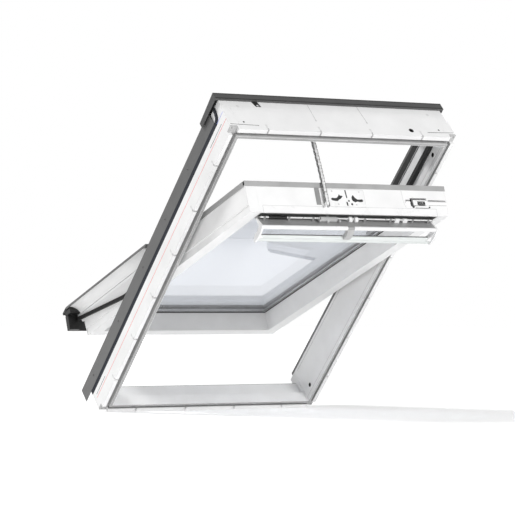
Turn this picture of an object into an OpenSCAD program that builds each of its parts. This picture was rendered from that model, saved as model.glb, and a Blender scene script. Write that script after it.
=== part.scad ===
// Centre-pivot roof window with an electric chain operator, shown tilted open in a 45 degree roof.
// Every piece is drawn upright: x to the right seen from the room, y outward from the room-side
// face, z up the slope. tilt() then lays the window back to the roof pitch, and on_sash() turns the
// sash about its pivot. The origin is the centre of the outer frame on its room-side plane.

/* [Frame] */
// Outer width of the frame
frame_w = 780; // [640:10:1340]
// Outer length of the frame, up the slope
frame_h = 1178; // [940:10:1600]
// Depth of the frame members, from the room side to the roof side
frame_depth = 128; // [122:1:132]
// Thickness of the side members
jamb_t = 32; // [30:1:38]
// Height of the head member
head_t = 34.4; // [32:0.2:40]
// Height of the sill member
sill_t = 33.4; // [30:0.2:40]
// Depth of the sill member
sill_depth = 93; // [88:1:94]
// Width of the inner rim beside the lining groove
rim_w = 8.2; // [6:0.2:9]
// Width of the lining groove
groove_w = 11.8; // [9:0.2:12]
// Depth of the lining groove
groove_depth = 16; // [8:1:20]
// Setback of the outer flange behind the rim
flange_setback = 3; // [1:0.5:6]
// Spacing of the notches along the outer flange
notch_pitch = 178; // [90:1:300]
// Side of a square corner piece
corner_size = 24; // [18:1:26]
// Depth from the room side at which the frame covers start
cover_start = 91.5; // [85:0.5:95]
// How far the outer covers stand beyond the frame members
cover_rise = 11.5; // [9:0.5:12]
// Length of the side covers below the sill
cover_overrun = 46; // [20:1:70]
// Thickness of the sheet metal covers
sheet_t = 1.2; // [0.8:0.1:1.6]

/* [Sash] */
// Gap between the frame opening and the sash flange, on each side
sash_side_gap = 15.3; // [12:0.1:20]
// Gap between the frame opening and the sash flange, top and bottom together
sash_end_gap = 18.6; // [16:0.2:24]
// Depth of the sash members
sash_depth = 84; // [78:1:88]
// Thickness of the room-side flange
sash_flange = 22; // [16:1:26]
// How far the sash sides stand beyond the flange
sash_side_step = 2.3; // [1:0.1:3]
// Width of the sash side members at the room side
stile_w = 38; // [34:1:46]
// Width of the bottom sash member at the room side
bottom_rail_w = 41.4; // [36:0.2:60]
// Width of the top sash member at the room side
top_rail_w = 48.8; // [47:0.2:60]
// How much the opening narrows towards the glass
opening_draft = 7.7; // [3:0.1:10]
// Depth at which the glazing rebate starts
glazing_seat = 58; // [50:1:60]
// Thickness of one pane
pane_t = 4; // [3:0.5:6]
// Gap between the panes
pane_gap = 16; // [10:1:16]
// How far the panes reach into the rebate
pane_cover = 24; // [18:1:26]

/* [Opening] */
// Roof pitch that the window is set in
roof_pitch = 45; // [15:1:85]
// Angle by which the sash stands open
sash_angle = 25.94; // [0:0.1:30]
// Height of the pivot above the centre of the frame
pivot_z = -8; // [-14:0.5:-6]
// Depth of the pivot behind the room-side plane of the frame
pivot_y = 141.2; // [139:0.2:145]
// Depth of the pivot behind the room-side face of the sash
pivot_depth = 95; // [93:0.5:98]
// Height of the sash centre above the pivot, with the sash shut
sash_rise = -5.6; // [-8:0.2:-3]
// Angle by which the vent flap stands open
flap_angle = 53; // [0:1:60]
// Sash opening at which the barrel bolt holds it for ventilation
hold_angle = 6.83; // [5:0.01:12]
// Sash opening at which the barrel bolt holds it for cleaning
clean_angle = 161.9; // [150:0.1:165]

/* [Fittings] */
// Radius of the hinge pins
hinge_pin_r = 5; // [4:0.5:6]
// Running clearance of the hinge pins
hinge_play = 0.06; // [0.02:0.01:0.1]
// Distance of the chain from the middle of the frame
chain_x = -84; // [-120:1:120]
// Width of the chain
chain_w = 12; // [8:1:16]
// Radius of the barrel bolt
bolt_r = 4.2; // [3:0.1:5]
// Distance of the barrel bolt below the top of the sash
bolt_drop = 26.8; // [20:0.2:34]
// Depth of the barrel bolt behind the face of the sash
bolt_y = 43; // [38:1:48]
// Radius of the flap rod
rod_r = 3; // [2:0.5:4]
// Radius of the cable hole in the head
cable_r = 8; // [5:0.5:12]

/* [Hidden] */
$fn = 48;
eps = 0.01;
gap = 0.3;

half_w = frame_w / 2;
half_h = frame_h / 2;
inner_x = half_w - jamb_t;
inner_top = half_h - head_t;
inner_bottom = sill_t - half_h;
rim_x = inner_x + rim_w;
rim_top = inner_top + rim_w;
rim_bottom = inner_bottom - rim_w;
groove_x = rim_x + groove_w;
groove_top = rim_top + groove_w;
groove_bottom = rim_bottom - groove_w;
corner_face = 12.9;
corner_floor = 18;
notch_w = 5;
foam_t = 4;
foam_start = 75;
sill_step_y = 40;
sill_wall = 17.5;
cover_y = frame_depth + cover_rise;
cover_low = -half_h - cover_overrun;
cover_inner_x = inner_x + 2;
hood_reach = 107;
cover_top = half_h - 59.5;

sash_x = inner_x - sash_side_gap;
side_x = sash_x + sash_side_step;
sash_z = (inner_top - inner_bottom - sash_end_gap) / 2;
open_x = sash_x - stile_w;
open_top = sash_z - top_rail_w;
open_bottom = bottom_rail_w - sash_z;
glass_x = open_x - opening_draft;
glass_top = open_top - opening_draft;
glass_bottom = open_bottom + opening_draft;
gasket_t = 2;
apron_x = side_x - 46;
pane_x = glass_x + pane_cover;
pane_top = glass_top + pane_cover;
pane_bottom = glass_bottom - pane_cover;
inner_pane_y = glazing_seat + gasket_t;
spacer_y = inner_pane_y + pane_t;
outer_pane_y = spacer_y + pane_gap;
glazing_back = outer_pane_y + pane_t;
rebate_play = 3;
rail_end_x = open_x + 5.3;

pin_clear = hinge_pin_r + hinge_play;
hinge_plate_t = 3.5;
hinge_disc_r = 11;
hinge_disc_t = 3.4;
hinge_disc_x = inner_x - hinge_plate_t - gap - hinge_disc_t;
sash_hinge_t = hinge_disc_x - gap - side_x;

bolt_z = sash_z - bolt_drop;
bolt_hole_r = bolt_r + 0.06;
bolt_radius = norm([bolt_z + sash_rise, pivot_depth - bolt_y]);
bolt_angle = atan2(pivot_depth - bolt_y, bolt_z + sash_rise);
bush_r = 7;
bush_bore = bolt_r + 0.8;
// shut, held for ventilation and held for cleaning
bolt_angles = [bolt_angle, bolt_angle + hold_angle, bolt_angle + clean_angle];

slot_low = sash_z - 45.8;
slot_high = sash_z - 4.8;
slot_depth = 30;
liner_t = 1.5;
hinge_z = sash_z - 38.8;
hinge_y = 1;
flap_x = sash_x - 38;
flap_len = 42;
flap_t = 1.5;
flap_front = -hinge_y - gap;
nose_r = 6;
nose_y = flap_front - nose_r;
handle_z = 32;
handle_y = 50.5;
handle_half = 11.5;
handle_r = 4.5;
cap_t = 6;
cap_x = flap_x - cap_t;

// seals of the frame: slot in the member, and reach of the seal into the opening
seal_slot = [52, 58];
seal_slot_in = 5;
gasket_reach = 10.5;
gasket_start = pivot_z + 30;

// hood over the top of the window
hood_x = half_w + 7;
hood_z = half_h + 7;
hood_t = 1.5;
hood_front = frame_depth - 2;
hood_back = frame_depth + 23.5;
hood_low = hood_z - 114;
hood_low_back = frame_depth + 18;

// chain operator in the head
cable_x = inner_x - 122;
cable_y = 28;
operator_half = 125;
operator_front = 72;
operator_back = 118;
operator_h = 25;
chain_steps = 12;
chain_sag = 6;
chain_half_t = 4;
chain_start = [96, inner_top];

// lock and chain fitting on the top edge of the sash, depths from its room-side face
lock_plate_t = 1.5;
lock_h = 28;
lock_x = [chain_x + 10, chain_x + 139];
lock_y = [22, 77];
lug_base = [22, sash_z];
lug_hole = lug_base + [2, 9];
chain_finish = in_frame(lug_hole);

// barrel bolt
bolt_pocket = [sash_x - 128, sash_x - 70];
bolt_start = sash_x - 140;
bolt_tube_r = 6.7;

// foot of the sash
tail_y = 54;
tail_step = 6.2;
tail_low = 59.2;
foot_seal_y = [46, 50];

// covers of the sash, u measured outwards from their edge on the glass
sheet = 1.5;
cover_edge = glass_x + 3;
cover_edge_top = glass_top + 3;
cover_edge_bottom = glass_bottom - 3;
upper_w = side_x + sheet - cover_edge;
rise_u = side_x - cover_edge;
wing_u = rise_u + 41;
tip_u = wing_u + 29;
seat_y = glazing_back + gasket_t;
low_y = glazing_back + 8;
upper_y = glazing_back + 12;
lower_y = glazing_back + 25;
lip_y = lower_y - 7;
tip_y = lower_y - 11;
leg_low = -sash_z - 20;
hinge_clear = 12;

// side seals of the lower half of the sash
gasket_rib = 7;
gasket_band = 13;
diagonal_top = -262;
diagonal_depth = [30, 72];

// vent slot and its lip
slot_x = rail_end_x - 4;
liner_end_t = 3;
lip_x = [9 - slot_x, rail_end_x - 7];

// arms of the control bar, in (y, z) from the flap hinge
arm_top = flap_len + nose_r + 1;
arm_far = -handle_y - handle_half - 1;
flap_sleeve_r = rod_r + 1.5;
rod_x_end = slot_x - 0.3;

// A point (y, z) of the sash, given in (y, z) of the upright frame
function in_frame(p) =
    let (y = p[0] - pivot_depth, z = p[1] + sash_rise)
    [pivot_y + y * cos(sash_angle) - z * sin(sash_angle),
     pivot_z + y * sin(sash_angle) + z * cos(sash_angle)];

// -- placing ---------------------------------------------------------------------------------

module tilt() rotate([90 - roof_pitch, 0, 0]) children();

module about_pivot(angle)
    translate([0, pivot_y, pivot_z]) rotate([angle, 0, 0])
        translate([0, -pivot_depth, sash_rise]) children();

module on_sash() tilt() about_pivot(sash_angle) children();

module on_flap()
    on_sash() translate([0, hinge_y, hinge_z]) rotate([flap_angle, 0, 0]) children();

module both_x() for (side = [-1, 1]) scale_x(side) children();

module scale_x(side) if (side > 0) children(); else mirror([1, 0, 0]) children();

// A box from its low corner to its high corner
module span(low, high) translate(low) cube(high - low);

// An outline in (x, y) drawn out from z0 to z1
module along_z(z0, z1) translate([0, 0, z0]) linear_extrude(z1 - z0) children();

// An outline in (y, z) drawn out from x0 to x1
module along_x(x0, x1)
    translate([x0, 0, 0]) rotate([90, 0, 90]) linear_extrude(x1 - x0) children();

module rod_x(x0, x1, r) translate([x0, 0, 0]) rotate([0, 90, 0]) cylinder(r = r, h = x1 - x0);

// -- frame members -----------------------------------------------------------------------------

module ring_box(x, low, high, y0, y1) span([-x, y0, low], [x, y1, high]);

module flange_notches() {
    for (z = [-2.5 : 1 : 2.5])
        both_x()
            span([groove_x - eps, flange_setback - 1, z * notch_pitch - notch_w / 2],
                 [half_w + 1, corner_face, z * notch_pitch + notch_w / 2]);
    for (x = [-1.5 : 1 : 1.5])
        for (band = [[groove_top - eps, half_h + 1], [-half_h - 1, groove_bottom + eps]])
            span([x * notch_pitch - notch_w / 2, flange_setback - 1, band[0]],
                 [x * notch_pitch + notch_w / 2, corner_face, band[1]]);
}

module corner_pocket() {
    s = corner_size;
    for (x = [-1, 1])
        for (z = [-1, 1])
            translate([x * (half_w - s / 2), corner_floor / 2, z * (half_h - s / 2)])
                cube([s, corner_floor, s], center = true);
}

module bolt_hole_at(angle, r, x0, x1)
    translate([0, pivot_y - bolt_radius * sin(angle), pivot_z + bolt_radius * cos(angle)])
        rod_x(x0, x1, r);

module frame_ring() {
    difference() {
        ring_box(half_w, -half_h, half_h, 0, frame_depth);
        // way through
        ring_box(inner_x, inner_bottom, inner_top, -1, frame_depth + 1);
        // lining groove
        difference() {
            ring_box(groove_x, groove_bottom, groove_top, -1, groove_depth);
            ring_box(rim_x, rim_bottom, rim_top, -2, groove_depth + 1);
        }
        // outer flange, set back behind the rim
        difference() {
            ring_box(half_w + 1, -half_h - 1, half_h + 1, -1, flange_setback);
            ring_box(groove_x, groove_bottom, groove_top, -2, flange_setback + 1);
        }
        flange_notches();
        difference() {
            corner_pocket();
            ring_box(rim_x, rim_bottom, rim_top, -1, corner_floor + 1);
        }
        // seat of the foam strip and the side covers
        both_x()
            span([half_w - foam_t, foam_start, -half_h - 1],
                 [half_w + 1, frame_depth + 1, half_h + 1]);
        // sill: shallower, with a rebate for the foot of the sash
        span([-inner_x, sill_depth, -half_h - 1], [inner_x, frame_depth + 1, inner_bottom + 1]);
        span([-inner_x, sill_step_y, sill_wall - half_h],
             [inner_x, frame_depth + 1, inner_bottom + 1]);
    }
}

module frame_jamb(side) color("white")
    tilt() scale_x(side) difference() {
        intersection() {
            frame_ring();
            span([inner_x, -1, -half_h - 1], [half_w + 1, frame_depth + 1, half_h + 1]);
        }
        // gasket slot beside the upper half of the sash
        span([inner_x - 1, seal_slot[0], gasket_start], [inner_x + seal_slot_in, seal_slot[1], inner_top]);
        if (side > 0)
            for (angle = bolt_angles)
                bolt_hole_at(angle, bush_r, inner_x - 1, inner_x + 18);
    }

module frame_head() color("white")
    tilt() difference() {
        intersection() {
            frame_ring();
            span([-inner_x, -1, inner_top], [inner_x, frame_depth + 1, half_h + 1]);
        }
        // gasket slot
        span([-inner_x - 1, seal_slot[0], inner_top - 1],
             [inner_x + 1, seal_slot[1], inner_top + seal_slot_in]);
        operator_pocket();
        // cable hole, right through the head
        translate([cable_x, cable_y, inner_top - 1]) cylinder(r = cable_r, h = head_t + 2);
    }

module frame_sill() color("white")
    tilt() intersection() {
        frame_ring();
        span([-inner_x, -1, -half_h - 1], [inner_x, frame_depth + 1, inner_bottom]);
    }

module corner_piece(x, z) color([0.8, 0.8, 0.8])
    tilt() scale_x(x) scale_z(z) difference() {
        span([half_w - corner_size, corner_face, half_h - corner_size],
             [half_w, corner_floor, half_h]);
        // clear of the rim corner, which differs between head and sill
        ring_box(rim_x, 0, z > 0 ? rim_top : -rim_bottom, -1, corner_floor + 1);
        translate([half_w - 6, corner_floor + 1, half_h - 6]) rotate([90, 0, 0])
            cylinder(r = 2, h = 8);
    }

module scale_z(side) if (side > 0) children(); else mirror([0, 0, 1]) children();

// -- seals and covers of the frame -------------------------------------------------------------

// Outline of the seal in (distance into the member, depth)
function seal_points() =
    [[seal_slot_in, seal_slot[0]], [seal_slot_in, seal_slot[1]], [0, seal_slot[1]], [0, 66],
     [-3, 66], [-gasket_reach, 61], [-gasket_reach, 49], [-3, 44], [0, 44], [0, seal_slot[0]]];

module frame_gasket(side) color([0.12, 0.12, 0.13])
    tilt() scale_x(side) along_z(gasket_start, inner_top)
        translate([inner_x, 0]) polygon(seal_points());

module frame_gasket_top() color([0.12, 0.12, 0.13])
    tilt() for (run = [[-inner_x + gasket_reach, chain_x - 14],
                       [chain_x + 14, inner_x - gasket_reach]])
        translate([0, 0, inner_top]) along_x(run[0], run[1])
            polygon([for (p = seal_points()) [p[1], p[0]]]);

module foam_seal(side) color([0.09, 0.1, 0.13])
    tilt() scale_x(side) span([half_w - foam_t, foam_start, -half_h],
                              [half_w, cover_start, half_h]);

module frame_cover(side) color([0.45, 0.45, 0.46])
    tilt() scale_x(side) difference() {
        union() {
            // outer skirt
            span([half_w - sheet_t, cover_start, cover_low], [half_w, cover_y, cover_top]);
            // roof-side leaf with its inner leg on the jamb
            span([cover_inner_x, cover_y - sheet_t, sill_wall - half_h],
                 [half_w - sheet_t + eps, cover_y, cover_top]);
            span([cover_inner_x, frame_depth, sill_wall - half_h],
                 [cover_inner_x + sheet_t, cover_y, cover_top]);
        }
        // clearance for the sash covers as they turn over
        span([cover_inner_x - 1, frame_depth - 1, pivot_z - 14],
             [half_w - 2 * sheet_t, cover_y + 1, pivot_z + 60]);
    }

module frame_cover_bottom() color([0.45, 0.45, 0.46])
    tilt() {
        // leg on the sill, between the side members, and apron below the frame, between the
        // end blocks of the shut sash
        span([-inner_x, sill_depth, -half_h], [inner_x, sill_depth + sheet_t, sill_wall - half_h]);
        span([-apron_x, sill_depth, cover_low], [apron_x, sill_depth + sheet_t, -half_h]);
    }

module hood_side_outline()
    polygon([[hood_front, hood_z], [hood_back, hood_z], [hood_low_back, hood_low],
             [hood_front + 1, hood_low]]);

module top_hood() color([0.28, 0.28, 0.29])
    tilt() difference() {
        along_x(-hood_x, hood_x) hood_side_outline();
        // open towards the frame and down the slope
        along_x(hood_t - hood_x, hood_x - hood_t)
            polygon([[hood_front + hood_t, hood_z - hood_t], [hood_back - hood_t, hood_z - hood_t],
                     [hood_low_back - hood_t, hood_low - 1], [hood_front - 1, hood_low - 1],
                     [hood_front - 1, half_h], [hood_front + hood_t, half_h]]);
    }

// -- operator ------------------------------------------------------------------------------------

module operator_pocket()
    span([chain_x - operator_half, operator_front, inner_top - 1],
         [chain_x + operator_half, operator_back, inner_top + operator_h]);

module operator_housing() color([0.75, 0.75, 0.76])
    tilt() difference() {
        span([chain_x - operator_half, operator_front, inner_top],
             [chain_x + operator_half, operator_back, inner_top + operator_h]);
        // chain outlet
        span([chain_x - chain_w / 2 - 2, chain_start[0] - 18, inner_top - 1],
             [chain_x + chain_w / 2 + 2, chain_start[0] + 10, inner_top + 14]);
        for (x = [-1, 1])
            translate([chain_x + x * (operator_half - 12), (operator_front + operator_back) / 2,
                       inner_top - 1])
                cylinder(r = 3, h = 6);
    }

// Points of the chain's centre line, a shallow arc from the outlet to the end fitting
function chain_point(t) =
    let (d = chain_finish - chain_start, n = [-d[1], d[0]] / norm(d))
    chain_start + d * t - n * 4 * chain_sag * t * (1 - t);
function chain_normal(t) =
    let (a = chain_point(t - 0.01), b = chain_point(t + 0.01), d = b - a)
    [-d[1], d[0]] / norm(d);

module operator_chain() color([0.8, 0.8, 0.82])
    tilt() along_x(chain_x - chain_w / 2, chain_x + chain_w / 2)
        polygon(concat(
            [for (i = [0 : chain_steps]) chain_point(i / chain_steps)
                 + chain_half_t * chain_normal(i / chain_steps)],
            [for (i = [chain_steps : -1 : 0]) chain_point(i / chain_steps)
                 - chain_half_t * chain_normal(i / chain_steps)]));

module chain_end() color([0.7, 0.7, 0.72])
    on_sash() translate([chain_x, 0, 0]) difference() {
        union() {
            span([-9, lug_base[0] - 4, lug_base[1]], [9, lug_base[0] + 16, lug_base[1] + 3]);
            both_x() span([chain_w / 2 + 0.4, lug_base[0] - 4, lug_base[1] + 2],
                          [9, lug_base[0] + 8, lug_base[1] + 14]);
        }
        translate([0, lug_hole[0], lug_hole[1]]) rod_x(-10, 10, 2.2);
    }

// -- hinges and bolt -----------------------------------------------------------------------------

module hinge_plate(side) color([0.72, 0.72, 0.73])
    tilt() scale_x(side) {
        difference() {
            union() {
                span([inner_x - hinge_plate_t, 78, pivot_z - 24],
                     [inner_x, frame_depth + 2, pivot_z + 24]);
                span([inner_x - hinge_plate_t, frame_depth, pivot_z - 9],
                     [inner_x, pivot_y, pivot_z + 9]);
                translate([0, pivot_y, pivot_z]) rod_x(inner_x - hinge_plate_t, inner_x, 9);
            }
            for (z = [-15, 15])
                translate([0, 92, pivot_z + z]) rod_x(inner_x - hinge_plate_t - 1, inner_x + 1, 2.4);
        }
        translate([0, pivot_y, pivot_z]) rod_x(side_x + 0.6, inner_x - hinge_plate_t, hinge_pin_r);
    }

module hinge_disc(side) color([0.55, 0.55, 0.56])
    tilt() about_pivot(sash_angle) scale_x(side) translate([0, pivot_depth, -sash_rise])
        difference() {
            rod_x(hinge_disc_x, hinge_disc_x + hinge_disc_t, hinge_disc_r);
            rod_x(hinge_disc_x - 1, hinge_disc_x + hinge_disc_t + 1, pin_clear);
        }

module sash_hinge(side) color([0.72, 0.72, 0.73])
    on_sash() scale_x(side) difference() {
        union() {
            span([side_x, 36, -sash_rise - 22],
                 [side_x + sash_hinge_t, sash_depth - 5, -sash_rise + 22]);
            span([side_x, 60, -sash_rise - hinge_disc_r],
                 [side_x + sash_hinge_t, pivot_depth, -sash_rise + hinge_disc_r]);
            translate([0, pivot_depth, -sash_rise])
                rod_x(side_x, side_x + sash_hinge_t, hinge_disc_r);
        }
        translate([0, pivot_depth, -sash_rise]) rod_x(side_x - 1, side_x + sash_hinge_t + 1, pin_clear);
        for (z = [-14, 14])
            translate([0, 48, z - sash_rise]) rod_x(side_x - 1, side_x + sash_hinge_t + 1, 2.4);
    }

module bolt_bushes() color([0.65, 0.65, 0.66])
    tilt() for (angle = bolt_angles) difference() {
        bolt_hole_at(angle, bush_r, inner_x, inner_x + 18);
        bolt_hole_at(angle, bush_bore, inner_x - 1, inner_x + 16);
    }

module cable_grommet() color([0.15, 0.15, 0.16])
    tilt() translate([cable_x, cable_y, inner_top]) difference() {
        cylinder(r = cable_r, h = head_t);
        translate([0, 0, -1]) cylinder(r = cable_r - 2.5, h = head_t + 2);
    }

module bolt_axis() translate([0, bolt_y, bolt_z]) children();

// What is cut from the sash for the barrel bolt: a hand pocket, and a channel open at the top
module bolt_cut() {
    span([bolt_pocket[0], bolt_y - 13, bolt_z - 14], [bolt_pocket[1], bolt_y + 13, sash_z + 1]);
    span([bolt_start - 4, bolt_y - 7, bolt_z], [side_x + 1, bolt_y + 7, sash_z + 1]);
    bolt_axis() rod_x(bolt_start - 4, side_x + 1, 7);
}

module bolt_bracket() color([0.82, 0.82, 0.83])
    on_sash() difference() {
        union() {
            bolt_axis() rod_x(bolt_pocket[1] - 2, side_x, bolt_tube_r);
            bolt_axis() rod_x(bolt_start - 4, bolt_pocket[0] + 2, bolt_tube_r);
            // hand pocket lining: a floor with a cheek at each end
            for (x = [bolt_pocket[0], bolt_pocket[1] - 2])
                span([x, bolt_y - 13, bolt_z - 14], [x + 2, bolt_y + 13, bolt_z + 8]);
            span([bolt_pocket[0], bolt_y - 13, bolt_z - 14],
                 [bolt_pocket[1], bolt_y + 13, bolt_z - 12.5]);
        }
        bolt_axis() rod_x(bolt_start - 5, side_x + 1, bolt_hole_r);
    }

module bolt_rod() color([0.85, 0.85, 0.86])
    on_sash() bolt_axis() {
        rod_x(bolt_start, side_x - 1, bolt_r);
        translate([bolt_pocket[0] + 14, 0, 0]) {
            rod_x(0, 8, 7.5);
            translate([4, 0, 0]) cylinder(r = 3.5, h = bolt_drop - 2);
        }
    }

// -- sash members --------------------------------------------------------------------------------

// The way through the sash, narrowing towards the glass, with the glazing rebate behind it
module sash_opening() {
    intersection() {
        along_z(-sash_z - 1, sash_z + 1)
            polygon([[-open_x, 0], [-open_x, -1], [open_x, -1], [open_x, 0],
                     [glass_x, glazing_seat], [glass_x, sash_depth + 1],
                     [-glass_x, sash_depth + 1], [-glass_x, glazing_seat]]);
        along_x(-sash_x, sash_x)
            polygon([[-1, open_bottom], [-1, open_top], [0, open_top],
                     [glazing_seat, glass_top], [sash_depth + 1, glass_top],
                     [sash_depth + 1, glass_bottom], [glazing_seat, glass_bottom],
                     [0, open_bottom]]);
    }
    ring_box(pane_x + rebate_play, pane_bottom - rebate_play, pane_top + rebate_play,
             glazing_seat, sash_depth + 1);
}

module sash_block() {
    ring_box(sash_x, -sash_z, sash_z, 0, sash_flange);
    ring_box(side_x, -sash_z, sash_z, sash_flange, sash_depth);
    // tail that laps over the sill
    along_x(-side_x, side_x)
        polygon([[0, -sash_z + 1], [0, -sash_z], [foot_seal_y[0], -sash_z - tail_step],
                 [foot_seal_y[1], -sash_z - tail_step], [tail_y, -sash_z - 22], [62, -sash_z - 24],
                 [72, -sash_z - tail_low], [sash_depth, -sash_z - tail_low],
                 [sash_depth, -sash_z + 1]]);
}

module slot_cut() {
    span([-slot_x, -1, slot_low], [slot_x, slot_depth, slot_high]);
    span([lip_x[0], -1, slot_high - eps], [lip_x[1], sash_flange, sash_z + 1]);
}

module sash_body() difference() {
    sash_block();
    sash_opening();
}

module rail_region()
    span([-rail_end_x, -1, glass_top - 1], [rail_end_x, sash_depth + 1, sash_z + 1]);

module sash_top_rail() color("white")
    on_sash() difference() {
        intersection() {
            sash_body();
            rail_region();
        }
        slot_cut();
        lock_pocket();
        bolt_cut();
    }

module sash_bottom_rail() color("white")
    on_sash() intersection() {
        sash_body();
        union() {
            span([-glass_x, -1, -sash_z - 100], [glass_x, sash_depth + 1, glass_bottom + 40]);
            span([-side_x - 1, -1, -sash_z - 100], [side_x + 1, sash_depth + 1, -sash_z]);
        }
    }

module sash_stile(side) color("white")
    on_sash() difference() {
        intersection() {
            sash_body();
            scale_x(side) span([glass_x, -1, -sash_z], [side_x + 1, sash_depth + 1, sash_z + 1]);
        }
        rail_region();
        if (side > 0) bolt_cut();
    }

// -- glazing ------------------------------------------------------------------------------------

module pane(y) color([0.8, 0.88, 0.92, 0.5])
    on_sash() ring_box(pane_x, pane_bottom, pane_top, y, y + pane_t);

module glazing_ring(outer, inner, y0, y1) difference() {
    ring_box(glass_x + outer, glass_bottom - outer, glass_top + outer, y0, y1);
    ring_box(glass_x + inner, glass_bottom - inner, glass_top + inner, y0 - 1, y1 + 1);
}

module glazing_spacer() color([0.25, 0.25, 0.27])
    on_sash() glazing_ring(15, 7, spacer_y, outer_pane_y);

module inner_glazing_gasket() color([0.1, 0.1, 0.1])
    on_sash() glazing_ring(12, 0.5, glazing_seat, inner_pane_y);

module outer_glazing_gasket() color([0.1, 0.1, 0.1])
    on_sash() glazing_ring(16, 4, glazing_back, glazing_back + gasket_t);

// -- covers of the sash --------------------------------------------------------------------------

// Outline of a folded cover in (u, y), u measured outwards from its edge on the glass
module upper_cover_outline(width)
    polygon([[0, seat_y], [sheet, seat_y], [sheet, low_y - sheet / 2], [width - sheet, upper_y - sheet],
             [width - sheet, sash_depth - 4], [width, sash_depth - 4], [width, upper_y],
             [0, low_y]]);

module lower_cover_outline()
    polygon([[0, seat_y], [sheet, seat_y], [sheet, low_y - sheet / 2], [rise_u, lower_y - sheet],
             [wing_u - sheet, lower_y - sheet], [wing_u - sheet, lip_y], [wing_u, lip_y],
             [wing_u, lower_y], [rise_u, lower_y], [0, low_y]]);

module bottom_cover_outline()
    polygon([[0, seat_y], [sheet, seat_y], [sheet, low_y - sheet / 2], [rise_u, lower_y - sheet],
             [wing_u, lower_y - sheet], [tip_u - sheet, tip_y - sheet], [tip_u - sheet, tip_y - 7],
             [tip_u, tip_y - 7], [tip_u, tip_y], [wing_u, lower_y], [rise_u, lower_y],
             [0, low_y]]);

// Region of a side cover: everything outward of the mitre lines at the corners
module mitre_region(z_from, z_to) rotate([-90, 0, 0]) translate([0, 0, -1])
    linear_extrude(200)
        intersection() {
            polygon([[cover_edge, -z_to], [cover_edge + 200, -z_to], [cover_edge + 200, -z_from],
                     [cover_edge, -z_from]]);
            polygon([[cover_edge, -cover_edge_top], [cover_edge + 200, -cover_edge_top - 200],
                     [cover_edge + 200, 200 - cover_edge_bottom], [cover_edge, -cover_edge_bottom]]);
        }

module sash_cover_upper(side) color([0.4, 0.4, 0.41])
    on_sash() scale_x(side) intersection() {
        translate([cover_edge, 0, 0]) along_z(-sash_rise + hinge_clear, sash_z + 3)
            upper_cover_outline(upper_w);
        mitre_region(-sash_rise + hinge_clear, sash_z + 3);
    }

module sash_cover_lower(side) color([0.42, 0.42, 0.43])
    on_sash() scale_x(side) intersection() {
        union() {
            translate([cover_edge, 0, 0]) along_z(-sash_z - 100, -sash_rise - hinge_clear)
                lower_cover_outline();
            // leg on the sash side
            span([side_x, sash_depth - 4, leg_low],
                 [side_x + sheet, lower_y - sheet / 2, -sash_rise - hinge_clear]);
        }
        mitre_region(-sash_z - 100, -sash_rise - hinge_clear);
    }

module sash_cover_top() color([0.4, 0.4, 0.41])
    on_sash() intersection() {
        translate([0, 0, cover_edge_top]) along_x(-side_x - sheet, side_x + sheet)
            rotate(90) mirror([0, 1]) upper_cover_outline(sash_z + sheet - cover_edge_top);
        rotate([-90, 0, 0]) linear_extrude(200)
            polygon([[-cover_edge, -cover_edge_top], [-cover_edge - 60, -cover_edge_top - 60],
                     [cover_edge + 60, -cover_edge_top - 60], [cover_edge, -cover_edge_top]]);
    }

module sash_cover_bottom() color([0.42, 0.42, 0.43])
    on_sash() intersection() {
        translate([0, 0, cover_edge_bottom]) mirror([0, 0, 1])
            along_x(-cover_edge - wing_u, cover_edge + wing_u)
                rotate(90) mirror([0, 1]) bottom_cover_outline();
        rotate([-90, 0, 0]) linear_extrude(200)
            polygon([[-cover_edge, -cover_edge_bottom],
                     [-cover_edge - 200, 200 - cover_edge_bottom],
                     [cover_edge + 200, 200 - cover_edge_bottom],
                     [cover_edge, -cover_edge_bottom]]);
    }

module end_block(side) color([0.08, 0.08, 0.08])
    on_sash() scale_x(side) {
        // plug under the cover
        span([side_x, sash_depth, -sash_z - tail_low],
             [cover_edge + wing_u - 3, sash_depth + 14, leg_low]);
        span([side_x, 36, -sash_z - tail_low - 6], [side_x + 35, sash_depth, -sash_z - 46]);
        span([side_x - 42, 36, -sash_z - tail_low - 6], [side_x, 78, -sash_z - tail_low]);
    }

module sash_gasket(side) color([0.2, 0.2, 0.2])
    on_sash() scale_x(side) along_x(side_x, side_x + gasket_rib) {
        half = gasket_band / 2;
        polygon([[diagonal_depth[0] - half, -sash_rise - 24],
                 [diagonal_depth[0] + half, -sash_rise - 24],
                 [diagonal_depth[0] + half, diagonal_top],
                 [diagonal_depth[1] + half - 2, -sash_z - tail_low + 14],
                 [diagonal_depth[1] - half - 2, -sash_z - tail_low + 14],
                 [diagonal_depth[0] - half, diagonal_top]]);
    }

module sash_gasket_bottom() color([0.2, 0.2, 0.2])
    on_sash() span([-side_x, foot_seal_y[0], -sash_z - 10.7],
                   [side_x, foot_seal_y[1], -sash_z - tail_step]);

// -- lock ----------------------------------------------------------------------------------------

module lock_pocket()
    span([lock_x[0] + 24, lock_y[0] + 12, sash_z - lock_h], [lock_x[1] - 24, lock_y[1] - 12, sash_z + 1]);

module lock_case() color([0.5, 0.5, 0.52])
    on_sash() span([lock_x[0] + 24, lock_y[0] + 12, sash_z - lock_h],
                   [lock_x[1] - 24, lock_y[1] - 12, sash_z]);

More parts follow.
